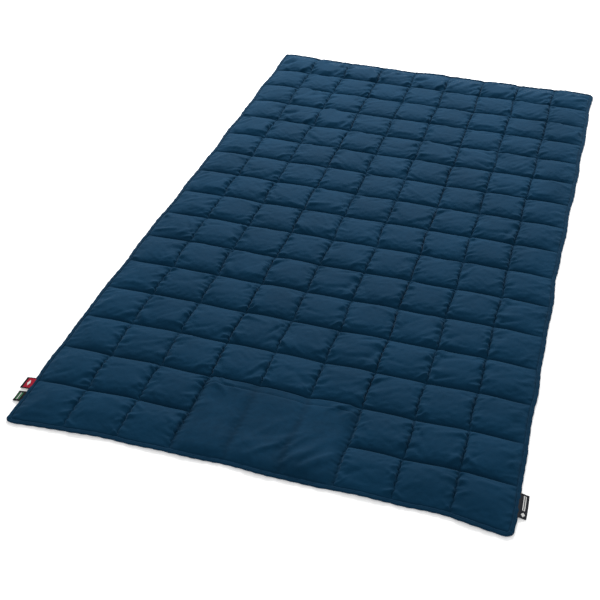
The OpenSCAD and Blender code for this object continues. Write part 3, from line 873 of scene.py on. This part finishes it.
in_x = POCKET_W - 0.0045                       # side seams
in_y = POCKET_FOOT + 0.004                     # foot seam
POCKET_STITCH = (0.0040, 0.0032, 0.0008)       # pitch, length, width
side = [stitches(on_line((s * in_x, in_y), (s * in_x, POCKET_MOUTH - 0.008)), *POCKET_STITCH, 0.0003)
        for s in (-1, 1)]
side.append(stitches(on_line((-in_x, in_y), (in_x, in_y), 400), *POCKET_STITCH, 0.0003))
joined("pocket_side_stitches", side, mat_thread, [QUARTERS[0]], None, ["pocket_side_thread"])
mouth_line = stitches(on_line((-POCKET_W + 0.006, hem_at), (POCKET_W - 0.006, hem_at), 400), *POCKET_STITCH, 0.0002)
joined("pocket_mouth_stitches", [mouth_line], mat_thread, [QUARTERS[0]], None, ["pocket_mouth_thread"])
tacks = []
for s in (-1, 1):
    for k in range(9):
        y = POCKET_MOUTH - 0.0015 - 0.0008 * k
        across = on_line((s * (in_x - 0.002), y), (s * (in_x + 0.002), y), 12)
        tacks.append(stitches(across, 0.0039, 0.0036, 0.0008, 0.0001))
joined("pocket_tacks", tacks, mat_thread, [QUARTERS[0]], None, ["pocket_bar_tacks"])


# ---------------------------------------------------------------- labels
def label_material(name, ground, marks):
    """Woven ribbon; marks are (kind, u0, u1, v0, v1, colour), placed in shares of the label's face."""
    m, t, p = nodes_of(name)
    uv = node(t, "ShaderNodeUVMap", uv_map="flat").outputs[0]
    xyz = node(t, "ShaderNodeSeparateXYZ")
    t.links.new(uv, xyz.inputs[0])
    ground_color = node(t, "ShaderNodeRGB")
    ground_color.outputs[0].default_value = (*ground, 1)
    out = ground_color.outputs[0]
    for kind, u0, u1, v0, v1, c in marks:
        du = math_node(t, "ABSOLUTE", math_node(t, "SUBTRACT", xyz.outputs[0], (u0 + u1) / 2))
        dv = math_node(t, "ABSOLUTE", math_node(t, "SUBTRACT", xyz.outputs[1], (v0 + v1) / 2))
        if kind == "box":
            mask = math_node(t, "MULTIPLY", math_node(t, "LESS_THAN", du, (u1 - u0) / 2),
                             math_node(t, "LESS_THAN", dv, (v1 - v0) / 2))
        else:                                                   # diamond
            mask = math_node(t, "LESS_THAN", math_node(t, "ADD", math_node(t, "DIVIDE", du, (u1 - u0) / 2),
                                                       math_node(t, "DIVIDE", dv, (v1 - v0) / 2)), 1.0)
        mix = node(t, "ShaderNodeMix", data_type="RGBA")
        t.links.new(mask, mix.inputs["Factor"])
        t.links.new(out, mix.inputs[6])
        mix.inputs[7].default_value = (*c, 1)
        out = mix.outputs[2]
    t.links.new(out, p.inputs["Base Color"])
    rib = math_node(t, "MULTIPLY", math_node(t, "SINE", math_node(t, "MULTIPLY", xyz.outputs[1], 420.0)), 0.00004)
    bump = node(t, "ShaderNodeBump")
    bump.inputs["Distance"].default_value = 1.0
    bump.inputs["Strength"].default_value = 0.7
    t.links.new(rib, bump.inputs["Height"])
    t.links.new(bump.outputs[0], p.inputs["Normal"])
    p.inputs["Roughness"].default_value = 0.6
    p.inputs["Specular IOR Level"].default_value = 0.06
    return m


def label(name, reach, mat, droop, skew):
    """Folded ribbon that comes out of the binding, dips towards the floor and turns back on itself."""
    low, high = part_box(name)
    s = 1 if low[0] > 0 else -1
    y0, y1 = low[1], high[1]
    root = HALF_W - 0.004
    tip = HALF_W + reach
    out_n, along_n, thick = 14, 8, 0.0011
    v = np.linspace(0, 1, along_n)
    rows, uvs = [], []

    def middle_z(a):
        return 0.0052 - (0.0052 - droop) * step(a, 0.12, 1.0) + 0.0003 * np.sin(5 * a)

    # out along the top, round the folded tip, back along the underside
    stations = ([(a, 1) for a in np.linspace(0, 1, out_n)] + [(1.035, 0.5), (1.05, 0.0), (1.035, -0.5)]
                + [(a, -1) for a in np.linspace(1, 0, out_n)])
    for a, f in stations:
        x = root + (tip - root) * min(a, 1.0) + max(a - 1, 0) * 0.02
        z = float(middle_z(min(a, 1.0))) + f * thick / 2
        yy = y0 + (y1 - y0) * v
        lx, ly, lz = lay(np.full_like(yy, s * HALF_W), yy)
        rows.append(np.stack([lx + s * (x - HALF_W), ly + skew * a * s, z + 0.0004 * np.sin(3.1 * v + a * 2)], -1))
        uvs.append(np.stack([np.full(along_n, min(a, 1.0)), v], -1))
    grid = np.stack(rows)
    ob = new_mesh(name.replace("label", "ribbon_label"), grid.reshape(-1, 3),
                  grid_faces(*grid.shape[:2], flip=(s > 0)), np.stack(uvs).reshape(-1, 2))
    ob.data.materials.append(mat)
    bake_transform(ob)
    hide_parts(name)


WHITE, RED, GREEN = (0.55, 0.55, 0.54), (0.26, 0.006, 0.020), (0.04, 0.20, 0.08)
BLACK, GREY = (0.006, 0.006, 0.007), (0.013, 0.014, 0.018)
mat_a = label_material("red ribbon", BLACK, [
    ("box", 0.0, 0.80, 0.08, 0.92, RED), ("diamond", 0.30, 0.62, 0.24, 0.76, WHITE)])
mat_b = label_material("black ribbon", BLACK, [
    ("box", 0.36, 0.46, 0.16, 0.84, GREEN), ("box", 0.56, 0.66, 0.16, 0.84, WHITE),
    ("box", 0.76, 0.84, 0.16, 0.84, GREEN)])
mat_c = label_material("grey ribbon", GREY, [
    ("diamond", 0.40, 0.86, 0.06, 0.24, WHITE), ("box", 0.46, 0.76, 0.32, 0.92, WHITE),
    ("box", 0.56, 0.66, 0.34, 0.90, GREY)])
label("label_left_a", 0.0215, mat_a, 0.0046, 0.0015)
label("label_left_b", 0.0190, mat_b, 0.0024, -0.0010)
label("label_right", 0.0165, mat_c, 0.0014, 0.0012)


# ---------------------------------------------------------------- floor, light, camera
FLOOR_Z = -0.0002                              # just below the blanket
floor_corners = [(-14, -9, FLOOR_Z), (14, -9, FLOOR_Z), (14, 16, FLOOR_Z), (-14, 16, FLOOR_Z)]
floor = new_mesh("floor", floor_corners, [(0, 1, 2, 3)])
fmat, _, fp = nodes_of("pale floor")
fp.inputs["Base Color"].default_value = (0.93, 0.93, 0.93, 1)
fp.inputs["Roughness"].default_value = 0.9
fp.inputs["Emission Color"].default_value = (1, 1, 1, 1)
fp.inputs["Emission Strength"].default_value = 0.22
fp.inputs["Specular IOR Level"].default_value = 0.1
floor.data.materials.append(fmat)

world = bpy.data.worlds.new("studio")
bpy.context.scene.world = world
world.use_nodes = True
world.node_tree.nodes["Background"].inputs[0].default_value = (1, 1, 1, 1)
world.node_tree.nodes["Background"].inputs[1].default_value = 0.64


def area(name, place, target, size, power):
    """White area light at place, facing target."""
    light = bpy.data.lights.new(name, "AREA")
    light.shape = "RECTANGLE"
    light.size, light.size_y = size
    light.energy = power
    ob = bpy.data.objects.new(name, light)
    ob.location = place
    ob.rotation_euler = (Vector(target) - Vector(place)).to_track_quat("-Z", "Y").to_euler()
    bpy.context.scene.collection.objects.link(ob)


area("key", (-0.85, 2.9, 2.2), (0, 0.32, 0), (3.0, 1.6), 212)
area("fill", (1.8, -3.5, 3.2), (0, -0.2, 0), (3.0, 3.0), 25)

cam_data = bpy.data.cameras.new("camera")
cam = bpy.data.objects.new("camera", cam_data)
bpy.context.scene.collection.objects.link(cam)
cam_data.sensor_width = 36
cam_data.lens = 53.6
cam_data.shift_x = -0.0911
az, el = math.radians(-15.94), math.radians(40.75)
fwd = Vector((math.sin(az) * math.cos(el), math.cos(az) * math.cos(el), -math.sin(el)))
right = Vector((math.cos(az), -math.sin(az), 0))
up = right.cross(fwd)
rot = Matrix((right, up, -fwd)).transposed().to_4x4()
cam.matrix_world = Matrix.Translation((0.5756, -2.1366, 1.5923)) @ rot
cam_data.clip_end = 60
bpy.context.scene.camera = cam
bpy.context.scene.view_settings.view_transform = "Standard"
